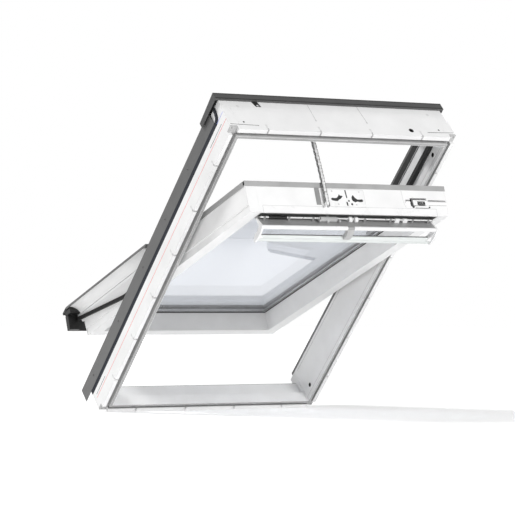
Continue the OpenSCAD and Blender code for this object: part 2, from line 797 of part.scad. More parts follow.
module lock_plate() color([0.82, 0.82, 0.82])
    on_sash() difference() {
        span([lock_x[0], lock_y[0], sash_z], [lock_x[1], lock_y[1], sash_z + lock_plate_t]);
        for (x = [0.26, 0.74]) {
            cx = lock_x[0] + x * (lock_x[1] - lock_x[0]);
            translate([cx, (lock_y[0] + lock_y[1]) / 2, sash_z - 1]) difference() {
                cylinder(r = 13, h = 4);
                translate([0, 0, -1]) cylinder(r = 8, h = 6);
                translate([-14, -14, -1]) cube([28, 12, 6]);
            }
        }
        cx = (lock_x[0] + lock_x[1]) / 2;
        span([cx - 5, lock_y[0] + 16, sash_z - 1], [cx + 5, lock_y[1] - 14, sash_z + 4]);
        for (x = [lock_x[0] + 8, lock_x[1] - 8])
            translate([x, lock_y[1] - 8, sash_z - 1]) cylinder(r = 2.4, h = 4);
    }

// -- vent slot and control bar -------------------------------------------------------------------

module slot_lip() color("white")
    on_sash() span([lip_x[0], 0, slot_high], [lip_x[1], sash_flange, sash_z]);

module slot_liner() color([0.35, 0.35, 0.36])
    on_sash() difference() {
        union() {
            span([-slot_x, 0, slot_low], [slot_x, slot_depth, slot_high]);
            // eyes of the flap rod
            both_x() translate([0, hinge_y, hinge_z])
                rod_x(slot_x - liner_end_t, slot_x, flap_sleeve_r);
        }
        span([liner_end_t - slot_x, -1, slot_low + liner_t],
             [slot_x - liner_end_t, slot_depth - liner_t, slot_high - liner_t]);
        translate([0, hinge_y, hinge_z]) rod_x(-slot_x - 1, slot_x + 1, rod_r + hinge_play);
    }

module flap_rod() color([0.85, 0.85, 0.85])
    on_flap() rod_x(-rod_x_end, rod_x_end, rod_r);

module nose_axis() translate([0, nose_y, flap_len]) children();

module vent_flap() color([0.6, 0.6, 0.61])
    on_flap() difference() {
        union() {
            span([-cap_x, flap_front - flap_t, 0], [cap_x, flap_front, flap_len]);
            nose_axis() rod_x(-cap_x, cap_x, nose_r);
            rod_x(-cap_x, cap_x, flap_sleeve_r);
        }
        rod_x(-cap_x - 1, cap_x + 1, rod_r + hinge_play);
        nose_axis() rod_x(-cap_x - 1, cap_x + 1, nose_r - 1.8);
    }

module handle_outline(grow = 0) {
    flat = handle_half - handle_r;
    translate([-handle_y, handle_z]) {
        square([2 * flat, 2 * (handle_r + grow)], center = true);
        for (y = [-flat, flat]) translate([y, 0]) circle(r = handle_r + grow);
    }
}

module handle_bar() color([0.86, 0.88, 0.87])
    on_flap() along_x(-cap_x, cap_x) handle_outline();

// Points from p to q on a shallow arc that rises by bulge to the left of the way from p to q
function bow(p, q, bulge, steps = 10) =
    let (d = q - p, n = [-d[1], d[0]] / norm(d))
    [for (i = [0 : steps]) let (t = i / steps) p + d * t + n * 4 * bulge * t * (1 - t)];

module end_cap(side) color("white")
    on_flap() scale_x(side) along_x(cap_x, flap_x)
        polygon(concat(
            [[flap_front, rod_r + 2], [flap_front, arm_top - 4]],
            [[flap_front - 3, arm_top]],
            bow([nose_y, arm_top], [arm_far, handle_z + 5], -4.5),
            [[arm_far, handle_z - 4]],
            bow([-handle_y + handle_half, handle_z - 6], [nose_y - nose_r, flap_len - 4], 3),
            [[flap_front - 2 * flap_t, rod_r + 6]]));

module centre_bracket() color([0.62, 0.62, 0.63])
    on_flap() along_x(-11, 11) difference() {
        polygon(concat(
            bow([nose_y, arm_top - 1], [-handle_y + 3, handle_z + 8], -5),
            bow([-handle_y + 8, handle_z - 3], [nose_y - nose_r + 2, flap_len - 6], 3)));
        translate([nose_y, flap_len]) circle(r = nose_r + gap);
        handle_outline(gap);
    }

frame_head();
frame_sill();
frame_jamb(-1);  // frame_jamb_left
frame_jamb(1);  // frame_jamb_right
corner_piece(-1, 1);  // corner_piece_top_left
corner_piece(1, 1);  // corner_piece_top_right
corner_piece(-1, -1);  // corner_piece_bottom_left
corner_piece(1, -1);  // corner_piece_bottom_right
frame_gasket(-1);  // frame_gasket_left
frame_gasket(1);  // frame_gasket_right
frame_gasket_top();
foam_seal(-1);  // foam_seal_left
foam_seal(1);  // foam_seal_right
frame_cover(-1);  // frame_cover_left
frame_cover(1);  // frame_cover_right
frame_cover_bottom();
top_hood();
hinge_plate(-1);  // hinge_plate_left
hinge_plate(1);  // hinge_plate_right
operator_housing();
operator_chain();
bolt_bushes();
cable_grommet();
hinge_disc(-1);  // hinge_disc_left
hinge_disc(1);  // hinge_disc_right
chain_end();
sash_top_rail();
sash_bottom_rail();
sash_stile(-1);  // sash_stile_left
sash_stile(1);  // sash_stile_right
pane(inner_pane_y);  // inner_pane
pane(outer_pane_y);  // outer_pane
glazing_spacer();
inner_glazing_gasket();
outer_glazing_gasket();
sash_cover_top();
sash_cover_bottom();
sash_cover_upper(-1);  // sash_cover_upper_left
sash_cover_upper(1);  // sash_cover_upper_right
sash_cover_lower(-1);  // sash_cover_lower_left
sash_cover_lower(1);  // sash_cover_lower_right
end_block(-1);  // end_block_left
end_block(1);  // end_block_right
sash_gasket(-1);  // sash_gasket_left
sash_gasket(1);  // sash_gasket_right
sash_gasket_bottom();
sash_hinge(-1);  // sash_hinge_left
sash_hinge(1);  // sash_hinge_right
lock_plate();
lock_case();
slot_lip();
slot_liner();
bolt_bracket();
bolt_rod();
vent_flap();
handle_bar();
end_cap(-1);  // end_cap_left
end_cap(1);  // end_cap_right
centre_bracket();
flap_rod();
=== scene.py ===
import bmesh
import bpy
import math
from mathutils import Matrix, Vector


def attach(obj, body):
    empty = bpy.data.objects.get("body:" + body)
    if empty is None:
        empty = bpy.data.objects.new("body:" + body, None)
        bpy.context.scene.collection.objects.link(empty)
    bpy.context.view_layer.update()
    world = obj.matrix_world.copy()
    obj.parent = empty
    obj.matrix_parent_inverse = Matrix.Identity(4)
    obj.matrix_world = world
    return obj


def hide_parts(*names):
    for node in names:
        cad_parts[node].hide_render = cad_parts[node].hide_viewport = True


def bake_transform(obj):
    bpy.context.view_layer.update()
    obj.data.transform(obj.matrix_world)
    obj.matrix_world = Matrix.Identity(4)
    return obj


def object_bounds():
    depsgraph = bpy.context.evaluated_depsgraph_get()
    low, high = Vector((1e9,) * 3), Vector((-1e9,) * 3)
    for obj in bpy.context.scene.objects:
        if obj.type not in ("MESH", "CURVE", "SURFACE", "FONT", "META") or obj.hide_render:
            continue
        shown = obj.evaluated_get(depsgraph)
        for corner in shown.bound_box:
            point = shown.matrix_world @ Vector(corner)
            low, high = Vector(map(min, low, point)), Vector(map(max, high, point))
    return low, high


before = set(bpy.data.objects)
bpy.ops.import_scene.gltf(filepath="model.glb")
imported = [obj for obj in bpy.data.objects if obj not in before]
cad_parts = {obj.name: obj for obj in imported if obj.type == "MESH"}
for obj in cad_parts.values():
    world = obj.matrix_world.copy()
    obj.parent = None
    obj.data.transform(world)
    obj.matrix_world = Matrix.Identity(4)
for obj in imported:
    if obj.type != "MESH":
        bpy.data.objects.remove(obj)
CAD_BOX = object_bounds()

# ---------------------------------------------------------------- places, in millimetres
# F: frame (x right, y out of the room, z up the slope). S: sash. L: flap of the control bar.
PITCH, SASH, FLAP = 45.0, 25.94, 53.0
HINGE_Y, HINGE_Z = 141.2, -8.0
AXIS_IN_SASH_Y, AXIS_IN_SASH_Z = 95.0, 5.6
FLAP_HINGE_Y, FLAP_HINGE_Z = 1.0, 507.0
R = lambda a: Matrix.Rotation(math.radians(a), 4, "X")
T = lambda x, y, z: Matrix.Translation((x, y, z))
F = Matrix.Scale(0.001, 4) @ R(PITCH)
S = F @ T(0, HINGE_Y, HINGE_Z) @ R(SASH) @ T(0, -AXIS_IN_SASH_Y, -AXIS_IN_SASH_Z)
L = S @ T(0, FLAP_HINGE_Y, FLAP_HINGE_Z) @ R(FLAP)

# outer half sizes of the frame, and its opening
HALF_W, HALF_H, IN_X, IN_TOP, IN_BOT = 390.0, 589.0, 358.0, 554.6, -555.6
# top face and side face of the sash, middle of the chain, top face of the hood
SZ, SIDE = 545.8, 345.0
CHAIN_X, HOOD_Z = -84.0, 596.0

# ---------------------------------------------------------------- materials


class Nodes:
    def __init__(self, name):
        self.m = bpy.data.materials.new(name)
        self.m.use_nodes = True
        self.t = self.m.node_tree
        self.bsdf = self.t.nodes["Principled BSDF"]

    def add(self, kind, **values):
        n = self.t.nodes.new(kind)
        for k, v in values.items():
            if isinstance(v, bpy.types.NodeSocket):
                self.t.links.new(v, n.inputs[k.replace("_", " ")])
            elif k.replace("_", " ") in n.inputs and not hasattr(n, k):
                n.inputs[k.replace("_", " ")].default_value = v
            else:
                setattr(n, k, v)
        return n

    def link(self, a, b):
        self.t.links.new(a, b)


def surface(name, dark, light, rough=(0.4, 0.5), metallic=0.0, scale=30.0, grain=900.0,
            bump=0.05, edge=0.0006, coat=0.0, brushed=None, specular=0.5):
    """Two-tone mottled colour, uneven gloss, fine grain in the bump and softened edges."""
    n = Nodes(name)
    b = n.bsdf
    b.inputs["Metallic"].default_value = metallic
    b.inputs["Specular IOR Level"].default_value = specular
    if coat:
        b.inputs["Coat Weight"].default_value = coat
        b.inputs["Coat Roughness"].default_value = 0.15
    co = n.add("ShaderNodeTexCoord").outputs["Object"]
    if brushed:
        m = n.add("ShaderNodeMapping")
        m.inputs["Scale"].default_value = brushed
        n.link(co, m.inputs["Vector"])
        co = m.outputs["Vector"]
    big = n.add("ShaderNodeTexNoise", Vector=co, Scale=scale, Detail=4.0)
    ramp = n.add("ShaderNodeValToRGB")
    ramp.color_ramp.elements[0].position = 0.3
    ramp.color_ramp.elements[1].position = 0.7
    ramp.color_ramp.elements[0].color = (*dark, 1)
    ramp.color_ramp.elements[1].color = (*light, 1)
    n.link(big.outputs["Fac"], ramp.inputs["Fac"])
    n.link(ramp.outputs["Color"], b.inputs["Base Color"])
    ro = n.add("ShaderNodeMapRange", Value=big.outputs["Fac"])
    ro.inputs["From Min"].default_value = 0.3
    ro.inputs["From Max"].default_value = 0.7
    ro.inputs["To Min"].default_value = rough[0]
    ro.inputs["To Max"].default_value = rough[1]
    n.link(ro.outputs["Result"], b.inputs["Roughness"])
    fine = n.add("ShaderNodeTexNoise", Vector=co, Scale=grain, Detail=2.0)
    bu = n.add("ShaderNodeBump", Strength=bump, Distance=0.001, Height=fine.outputs["Fac"])
    if edge:
        be = n.add("ShaderNodeBevel", Radius=edge)
        n.link(be.outputs["Normal"], bu.inputs["Normal"])
    n.link(bu.outputs["Normal"], b.inputs["Normal"])
    return n.m


def glass_material(name, tint, rough):
    n = Nodes(name)
    b = n.bsdf
    b.inputs["Transmission Weight"].default_value = 1.0
    b.inputs["IOR"].default_value = 1.45
    co = n.add("ShaderNodeTexCoord").outputs["Object"]
    big = n.add("ShaderNodeTexNoise", Vector=co, Scale=3.0, Detail=2.0)
    ramp = n.add("ShaderNodeValToRGB")
    ramp.color_ramp.elements[0].color = (tint[0] * 0.99, tint[1] * 0.995, tint[2], 1)
    ramp.color_ramp.elements[1].color = (*tint, 1)
    n.link(big.outputs["Fac"], ramp.inputs["Fac"])
    n.link(ramp.outputs["Color"], b.inputs["Base Color"])
    ro = n.add("ShaderNodeMapRange", Value=big.outputs["Fac"])
    ro.inputs["To Min"].default_value = rough * 0.5
    ro.inputs["To Max"].default_value = rough
    n.link(ro.outputs["Result"], b.inputs["Roughness"])
    return n.m


g = lambda v: (v, v, v)
M = {
    "white": surface("white_lacquer", g(0.80), g(0.86), (0.28, 0.4), scale=12, bump=0.02,
                     edge=0.0012),
    "white_trim": surface("white_trim", g(0.82), g(0.88), (0.25, 0.35), scale=25, bump=0.02,
                          edge=0.0008),
    "grey_plastic": surface("grey_plastic", g(0.42), g(0.5), (0.4, 0.5), scale=60, bump=0.05),
    "rubber": surface("rubber", g(0.012), g(0.022), (0.55, 0.7), scale=90, bump=0.12),
    "rubber_grey": surface("rubber_ribbed", g(0.02), g(0.035), (0.5, 0.65), scale=90, bump=0.1),
    "foam": surface("foam", (0.006, 0.008, 0.014), (0.02, 0.024, 0.034), (0.8, 0.95), scale=400,
                    grain=1500, bump=0.5),
    "cover": surface("cover_lacquer", g(0.138), g(0.152), (0.36, 0.42), 0.25, scale=18, bump=0.05,
                     edge=0.0008),
    "cover_sash": surface("sash_cover_lacquer", g(0.13), g(0.155), (0.32, 0.42), 0.25, scale=18,
                          bump=0.05, edge=0.0008),
    "cover_top": surface("sash_cover_light", g(0.36), g(0.41), (0.3, 0.4), 0.25, scale=18,
                         bump=0.05, edge=0.0008),
    "hood": surface("hood_lacquer", g(0.09), g(0.1), (0.38, 0.43), 0.25, scale=18, bump=0.05,
                    edge=0.0012),
    "steel": surface("zinc_steel", g(0.55), g(0.68), (0.25, 0.4), 1.0, scale=120, bump=0.05),
    "bright_steel": surface("bright_steel", g(0.66), g(0.78), (0.16, 0.28), 1.0, scale=60,
                            bump=0.04, brushed=(1, 12, 12)),
    "chain_side": surface("chain_side_steel", g(0.2), g(0.3), (0.3, 0.42), 0.9, scale=90, bump=0.05),
    "spacer_light": surface("spacer_aluminium", g(0.6), g(0.7), (0.35, 0.45), 0.3, scale=60,
                            bump=0.04),
    # painted shade: grey laid over the white frame inside the lining groove
    "painted_groove_shade": surface("groove_shade_paint", g(0.42), g(0.5), (0.45, 0.55), scale=20, bump=0.03),
    "dark_steel": surface("dark_steel", g(0.05), g(0.09), (0.3, 0.45), 1.0, scale=90, bump=0.06),
    "slot_grey": surface("slot_lining", g(0.22), g(0.28), (0.4, 0.55), scale=40, bump=0.06),
    "trough": surface("flap_lacquer", g(0.34), g(0.39), (0.3, 0.42), 0.3, scale=40, bump=0.04,
                      brushed=(0.2, 8, 8)),
    "bar": surface("bar_lacquer", (0.66, 0.69, 0.68), (0.74, 0.77, 0.76), (0.22, 0.34), 0.15,
                   scale=30, bump=0.03, brushed=(0.2, 6, 6)),
    # painted highlight: whiter, glossier skin on the rounded nose of the bar
    "nose": surface("nose_highlight_paint", g(0.82), g(0.88), (0.2, 0.3), 0.0, scale=30, bump=0.02),
    "black": surface("black_plastic", g(0.008), g(0.016), (0.35, 0.5), scale=60, bump=0.08),
    # painted shadow: dark strips laid where shade falls along edges
    "groove": surface("shadow_line", g(0.16), g(0.22), (0.5, 0.6), scale=60, bump=0.05, edge=0),
    "groove_soft": surface("soft_line", g(0.45), g(0.52), (0.5, 0.6), scale=60, bump=0.05, edge=0),
    # painted shade: grey marks where moulded dents lie in shadow
    "dent": surface("dent_shade_paint", g(0.66), g(0.72), (0.35, 0.45), scale=60, bump=0.05),
    "zinc": surface("light_zinc", g(0.84), g(0.9), (0.25, 0.38), 0.5, scale=80, bump=0.04),
    # painted shade: grey on the room-side face of the white inner rim
    "rim_shade": surface("rim_face", g(0.36), g(0.42), (0.4, 0.5), scale=25, bump=0.03),
    # painted shade: darker bands on the hood where it folds
    "painted_fold_shade": surface("hood_fold", g(0.03), g(0.045), (0.4, 0.5), 0.25, scale=18, bump=0.05),
    "red": surface("red_line", (0.8, 0.09, 0.09), (0.86, 0.14, 0.14), (0.4, 0.5), scale=60, edge=0),
    "blue": surface("blue_line", (0.25, 0.3, 0.75), (0.33, 0.4, 0.85), (0.4, 0.5), scale=60,
                    edge=0),
    "glass": glass_material("window_glass", (0.86, 0.875, 0.905), 0.01),
}

BY_NODE = {
    "frame_head": "white", "frame_sill": "white", "frame_jamb": "white",
    "corner_piece": "grey_plastic", "frame_gasket": "rubber", "foam_seal": "foam",
    "frame_cover": "cover", "top_hood": "hood", "hinge_plate": "steel",
    "operator_housing": "grey_plastic", "operator_chain": "zinc",
    "bolt_bushes": "dark_steel", "cable_grommet": "rubber", "hinge_disc": "dark_steel",
    "chain_end": "zinc", "sash_top_rail": "white", "sash_bottom_rail": "white",
    "sash_stile": "white", "inner_pane": "glass", "outer_pane": "glass",
    "glazing_spacer": "spacer_light", "inner_glazing_gasket": "rubber",
    "outer_glazing_gasket": "rubber", "sash_cover": "cover_sash",
    "sash_cover_upper": "cover_top", "sash_cover_top": "cover_top", "end_block": "black",
    "sash_gasket": "rubber_grey", "sash_hinge": "steel", "lock_plate": "white_trim",
    "lock_case": "black", "slot_lip": "white_trim", "slot_liner": "slot_grey",
    "bolt_bracket": "white_trim", "bolt_rod": "bright_steel", "vent_flap": "trough",
    "handle_bar": "bar", "end_cap": "white_trim", "centre_bracket": "grey_plastic",
    "flap_rod": "steel",
}
for name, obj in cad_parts.items():
    key = max((k for k in BY_NODE if name.startswith(k)), key=len)
    obj.data.materials.clear()
    obj.data.materials.append(M[BY_NODE[key]])

# ---------------------------------------------------------------- mesh tools


def piece(name, bm, space, mat, body, bevel=0.0, segments=2, smooth=False, replaces=()):
    """Turns a bmesh drawn in millimetres of `space` into a piece that rides on a body."""
    bmesh.ops.recalc_face_normals(bm, faces=bm.faces)
    if bevel:
        sharp = [e for e in bm.edges if len(e.link_faces) == 2
                 and e.calc_face_angle(0) > math.radians(28)]
        bmesh.ops.bevel(bm, geom=sharp, offset=bevel, segments=segments, profile=0.5,
                        affect="EDGES", clamp_overlap=True)
    me = bpy.data.meshes.new(name)
    bm.to_mesh(me)
    bm.free()
    me.transform(space)
    for p in me.polygons:
        p.use_smooth = smooth
    ob = bpy.data.objects.new(name, me)
    bpy.context.scene.collection.objects.link(ob)
    me.materials.append(M[mat])
    if body:
        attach(ob, body)
    if replaces:
        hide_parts(*replaces)
    return ob


def new():
    return bmesh.new()


def box(bm, lo, hi):
    v = [bm.verts.new((x, y, z)) for x in (lo[0], hi[0]) for y in (lo[1], hi[1])
         for z in (lo[2], hi[2])]
    for f in ((0, 1, 3, 2), (4, 6, 7, 5), (0, 4, 5, 1), (2, 3, 7, 6), (0, 2, 6, 4), (1, 5, 7, 3)):
        bm.faces.new([v[i] for i in f])
    return bm


def prism(bm, points, lo, hi, axis="x"):
    """Extrudes an outline. axis x: (y, z). axis y: (x, z). axis z: (x, y)."""
    put = {"x": lambda p, t: (t, p[0], p[1]), "y": lambda p, t: (p[0], t, p[1]),
           "z": lambda p, t: (p[0], p[1], t)}[axis]
    a = [bm.verts.new(put(p, lo)) for p in points]
    b = [bm.verts.new(put(p, hi)) for p in points]
    n = len(points)
    bm.faces.new(a)
    bm.faces.new(b)
    for i in range(n):
        bm.faces.new((a[i], a[(i + 1) % n], b[(i + 1) % n], b[i]))
    return bm


def tube(bm, path, r, sides=12, up=(1, 0, 0)):
    """A round bar along a path. r is one radius or a list with one for each point."""
    rings = []
    pts = [Vector(p) for p in path]
    for i, p in enumerate(pts):
        d = (pts[min(i + 1, len(pts) - 1)] - pts[max(i - 1, 0)]).normalized()
        u = Vector(up)
        if abs(d.dot(u)) > 0.95:
            u = Vector((0, 0, 1))
        a = d.cross(u).normalized()
        b = d.cross(a).normalized()
        rad = r[i] if isinstance(r, (list, tuple)) else r
        rings.append([bm.verts.new(p + a * rad * math.cos(2 * math.pi * k / sides)
                                   + b * rad * math.sin(2 * math.pi * k / sides))
                      for k in range(sides)])
    for q, s in zip(rings, rings[1:]):
        for k in range(sides):
            bm.faces.new((q[k], q[(k + 1) % sides], s[(k + 1) % sides], s[k]))
    bm.faces.new(rings[0])
    bm.faces.new(rings[-1])
    return bm


def lathe(bm, axis, centre, profile, sides=24):
    """profile: (distance along the axis, radius) pairs, closed at both ends."""
    a = {"x": Vector((1, 0, 0)), "y": Vector((0, 1, 0)), "z": Vector((0, 0, 1))}[axis]
    u = a.orthogonal().normalized()
    w = a.cross(u)
    c = Vector(centre)
    rings = [[bm.verts.new(c + a * t + (u * math.cos(2 * math.pi * k / sides)
                                        + w * math.sin(2 * math.pi * k / sides)) * r)
              for k in range(sides)] for t, r in profile]
    for q, s in zip(rings, rings[1:]):
        for k in range(sides):
            bm.faces.new((q[k], q[(k + 1) % sides], s[(k + 1) % sides], s[k]))
    bm.faces.new(rings[0])
    bm.faces.new(rings[-1])
    return bm


def screws(name, space, body, places, axis, out, r=3.8, mat="steel"):
    """Pan-head screws with a cross recess. out is the side the heads face."""
    bm, rec = new(), new()
    for c in places:
        c = Vector(c)
        lathe(bm, axis, c, [(0, r), (0.8 * out, r), (1.5 * out, r * 0.72), (1.75 * out, r * 0.35)],
              20)
        i = "xyz".index(axis)
        j, k = [q for q in range(3) if q != i]
        for long_, thin in ((j, k), (k, j)):
            lo, hi = Vector(c), Vector(c)
            lo[i] += min(1.2 * out, 1.9 * out)
            hi[i] += max(1.2 * out, 1.9 * out)
            lo[long_] -= r * 0.5
            hi[long_] += r * 0.5
            lo[thin] -= r * 0.11
            hi[thin] += r * 0.11
            box(rec, lo, hi)
    piece(name, bm, space, mat, body)
    piece(name + "_recess", rec, space, "dark_steel", body)


# ---------------------------------------------------------------- chain


LINKS, CHAIN_BOW = 27, 24
LINK_R, LINK_PLATE = 3.9, 1.1
PIN_R, PIN_HALF = 1.8, 5.98


def chain():
    """A bowed row of links from the outlet in the head to the chain end on the sash."""
    start = Vector((96, IN_TOP))
    q = F.inverted() @ (S @ Vector((0, 24, SZ + 9)))
    end = Vector((q.y, q.z))
    d = end - start
    n = Vector((-d.y, d.x)).normalized()
    pos = lambda t: start + d * t - n * CHAIN_BOW * t * (1 - t)
    sides, backs = new(), new()
    joints = [pos(i / LINKS) for i in range(LINKS + 1)]
    for i, (a, b) in enumerate(zip(joints, joints[1:])):
        u = (b - a).normalized()
        w = Vector((-u.y, u.x))

        def capsule(bm, r, x0, x1):
            pts = []
            for c, sign in ((b, 1), (a, -1)):
                for k in range(7):
                    ang = math.radians(-90 + 30 * k)
                    pts.append(tuple(c + (u * math.cos(ang) + w * math.sin(ang)) * r * sign))
            prism(bm, pts, CHAIN_X + x0, CHAIN_X + x1)

        outer = i % 2 == 0
        for side in (-1, 1):
            x = 5.95 if outer else 4.7
            lo, hi = sorted((side * x, side * (x - LINK_PLATE)))
            capsule(sides, LINK_R, lo, hi)
        # folded back and front of the link
        m0, m1 = a + u * 0.6, b - u * 0.6
        half = 4.6 if outer else 3.4
        for q0, q1 in ((-3.7, -2.5), (1.9, 3.1)):
            pts = [m0 + w * q0, m1 + w * q0, m1 + w * q1, m0 + w * q1]
            prism(backs, [tuple(p) for p in pts], CHAIN_X - half, CHAIN_X + half)
    for p in joints:
        lathe(backs, "x", (CHAIN_X, p.x, p.y), [(-PIN_HALF, PIN_R), (PIN_HALF, PIN_R)], 14)
    a = piece("chain_side_plates", sides, F, "chain_side", None, bevel=0.2, segments=1)
    b = piece("chain_backs", backs, F, "zinc", None, bevel=0.15, segments=1)
    for ob in (a, b):
        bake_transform(ob)
    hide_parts("operator_chain")


chain()

# ---------------------------------------------------------------- marks and fittings of the frame


def head_details():
    top = HALF_H
    line, hole, dent, nub = new(), new(), new(), new()
    for x0, x1 in ((-86, -86), (86, 91)):
        prism(line, [(x0 - 0.8, 124), (x0 + 0.8, 124), (x1 + 0.8, 56), (x1 - 0.8, 56)],
              top - 0.2, top + 0.25, "z")
        lathe(line, "z", (x1, 54, top - 0.2), [(0, 2.6), (0.5, 2.4)], 16)
    for s in (-1, 1):
        prism(hole, [(s * 292, 21), (s * 392 * 0.985, 24), (s * 392 * 0.985, 25.4), (s * 292, 22.6)],
              top - 0.2, top + 0.2, "z")
        lathe(hole, "z", (s * 338, 35, top - 0.2), [(0, 3), (0.5, 3)], 16)
        # round moulded dents, drawn as grey marks of painted shade
        lathe(dent, "z", (s * 354, 34, top - 0.2), [(0, 1.6), (0.4, 1.6)], 16)
        lathe(dent, "z", (s * 330, 104, top - 0.2), [(0, 5.5), (0.5, 5)], 20)
    prism(hole, [(-276, 126), (-256, 126), (-250, 105), (-268, 105)], top - 0.2, top + 0.22, "z")
    prism(nub, [(-265, 113), (-259, 113), (-257, 108), (-263, 108)], top + 0.1, top + 0.6, "z")
    # small moulded dents beside the notches of the outer flange, drawn as grey marks of painted
    # shade
    for x in (-267, -89, 89, 267):
        prism(dent, [(x - 5, 27), (x + 3, 27), (x + 1, 15), (x - 3, 15)], top - 0.2, top + 0.3, "z")
    piece("head_lines", line, F, "groove_soft", "frame")
    piece("head_holes", hole, F, "black", "frame")
    piece("head_nub", nub, F, "white_trim", "frame", bevel=0.15, segments=1)
    piece("head_dent_shades", dent, F, "dent", "frame", bevel=0.12, segments=1)


def side_details():
    red, blue, dark, dent = new(), new(), new(), new()
    for s in (-1, 1):
        lo, hi = sorted((s * (HALF_W - 0.1), s * (HALF_W + 0.2)))
        box(red, (lo, 47.8, -572), (hi, 49.2, 588))
        box(blue, (lo, 76.8, 541), (hi, 78.2, 588))
        box(dark, (lo, 56.6, 466), (hi, 58.2, 558))
        box(dark, (lo, 57, -566), (hi, 58.6, -484))
        for i in range(6):
            z = (i - 2.5) * 178
            # small moulded dents, drawn as grey marks of painted shade
            prism(dent, [(27, z - 5), (27, z + 3), (15, z + 1), (15, z - 3)], lo, hi + 0.1)
        # foam seal with its curved end under the hood
        foam = new()
        lo, hi = sorted((s * (HALF_W - 3.95), s * HALF_W))
        outline = [(75, -588.9), (91.4, -588.9), (91.4, 529), (92, 536), (98, 545), (110, 549.5),
                   (124, 551.5), (124, 562), (110, 560.5), (95, 556), (86, 548), (80, 536),
                   (76.5, 520), (75, 500)]
        prism(foam, outline, lo, hi)
        name = "left" if s < 0 else "right"
        piece(f"foam_strip_{name}", foam, F, "foam", "frame", bevel=0.4, segments=1,
              replaces=(f"foam_seal_{name}",))
    piece("red_guide_line", red, F, "red", "frame")
    piece("blue_guide_line", blue, F, "blue", "frame")
    piece("side_slits", dark, F, "black", "frame")
    piece("side_dent_shades", dent, F, "dent", "frame", bevel=0.1, segments=1)


def jamb_details():
    line, seal = new(), new()
    for s in (-1, 1):
        lo, hi = sorted((s * (IN_X + 0.1), s * (IN_X - 0.25)))
        box(line, (lo, 13, IN_BOT + 1), (hi, 14, IN_TOP - 1))
        box(line, (lo, 117, IN_BOT + 20), (hi, 118.2, IN_TOP - 1))
        # sealant in the inner corners
        for z, t in ((IN_BOT, 1), (IN_TOP, -1)):
            pts = [(s * IN_X, z), (s * (IN_X - 2.2), z), (s * (IN_X - 0.8), z + t * 0.8),
                   (s * IN_X, z + t * 2.2)]
            prism(seal, pts, 3, 92, "y")
    piece("jamb_lines", line, F, "groove_soft", "frame")
    piece("corner_seals", seal, F, "white_trim", "frame")


def cover_details():
    # rolled front edge of the hood, and painted shade along its fold lines
    roll = new()
    tube(roll, [(-396.4, 127, 595.2), (396.4, 127, 595.2)], 0.75, 8)
    piece("hood_front_roll", roll, F, "hood", "frame", smooth=True)
    fold = new()
    box(fold, (-396.2, 127.2, HOOD_Z - 0.1), (396.2, 131.5, HOOD_Z + 0.15))
    box(fold, (-396.2, 147.6, HOOD_Z - 0.1), (396.2, 150.9, HOOD_Z + 0.15))
    piece("hood_fold_shades", fold, F, "painted_fold_shade", "frame")
    hood_back = [(x, 151.1, 588) for x in (-360, -120, 120, 360)]
    screws("hood_screws", F, "frame", hood_back, "y", 1, 3.6, "hood")
    for s, name in ((-1, "l"), (1, "r")):
        skirt = [(s * HALF_W, 116, z) for z in (-540, -300, -70, 130, 330)]
        screws(f"skirt_screws_{name}", F, "frame", skirt, "x", s, 3.4, "cover")
        hinge = [(s * (IN_X - 3.5), 92, HINGE_Z + z) for z in (-15, 15)]
        screws(f"hinge_screws_{name}", F, "frame", hinge, "x", -s, 3.9)


def groove_shade_skin():
    """Thin grey skin of painted shade on the bottom and the walls of the lining groove."""
    bm = new()
    x0, x1 = 366.2, 378.0
    t0, t1, b0, b1 = IN_TOP + 8.2, IN_TOP + 20, IN_BOT - 8.2, IN_BOT - 20
    for s in (-1, 1):
        lo, hi = sorted((s * (x0 + 0.1), s * (x1 - 0.1)))
        box(bm, (lo, 15.6, b1 + 0.1), (hi, 15.95, t1 - 0.1))
        for x in (x0 + 0.02, x1 - 0.32):
            lo, hi = sorted((s * x, s * (x + 0.3)))
            box(bm, (lo, 2.0 if x < 370 else 4.2, b0), (hi, 15.6, t0))
    for z0, z1 in ((t0, t1), (b1, b0)):
        box(bm, (-x0, 15.6, z0 + 0.1), (x0, 15.95, z1 - 0.1))
        for z in (z0 + 0.02, z1 - 0.32):
            deep = 2.0 if abs(z) < 568 else 4.2
            box(bm, (-x0, deep, z), (x0, 15.6, z + 0.3))
    piece("groove_shade_skin", bm, F, "painted_groove_shade", "frame")


def jamb_strips():
    """Black seals on the upper jambs, at the roof edge."""
    bm = new()
    for s in (-1, 1):
        lo, hi = sorted((s * (IN_X + 0.1), s * (IN_X - 1.0)))
        pts = [(106, 60), (127.8, 60), (127.8, IN_TOP - 0.5), (106, IN_TOP - 0.5)]
        prism(bm, pts, lo, hi)
        edge = lo + 0.6 if s > 0 else hi
        box(bm, (lo, 100, 60), (edge, 103, IN_TOP - 0.5))
    piece("jamb_edge_seals", bm, F, "rubber", "frame", bevel=0.3, segments=1)


def rim_faces():
    """Painted shade on the room-side face of the inner rim, with a bright arris left at the opening.
    """
    bm = new()
    o, w = 1.4, 8.1
    y0, y1 = -0.22, 0.1
    for s in (-1, 1):
        lo, hi = sorted((s * (IN_X + o), s * (IN_X + w)))
        box(bm, (lo, y0, IN_BOT - w), (hi, y1, IN_TOP + w))
    for z0, z1 in ((IN_TOP + o, IN_TOP + w), (IN_BOT - w, IN_BOT - o)):
        box(bm, (-IN_X - o, y0, z0), (IN_X + o, y1, z1))
    piece("rim_faces", bm, F, "rim_shade", "frame")


rim_faces()
groove_shade_skin()
jamb_strips()
head_details()
side_details()
jamb_details()
cover_details()

# ---------------------------------------------------------------- sash fittings


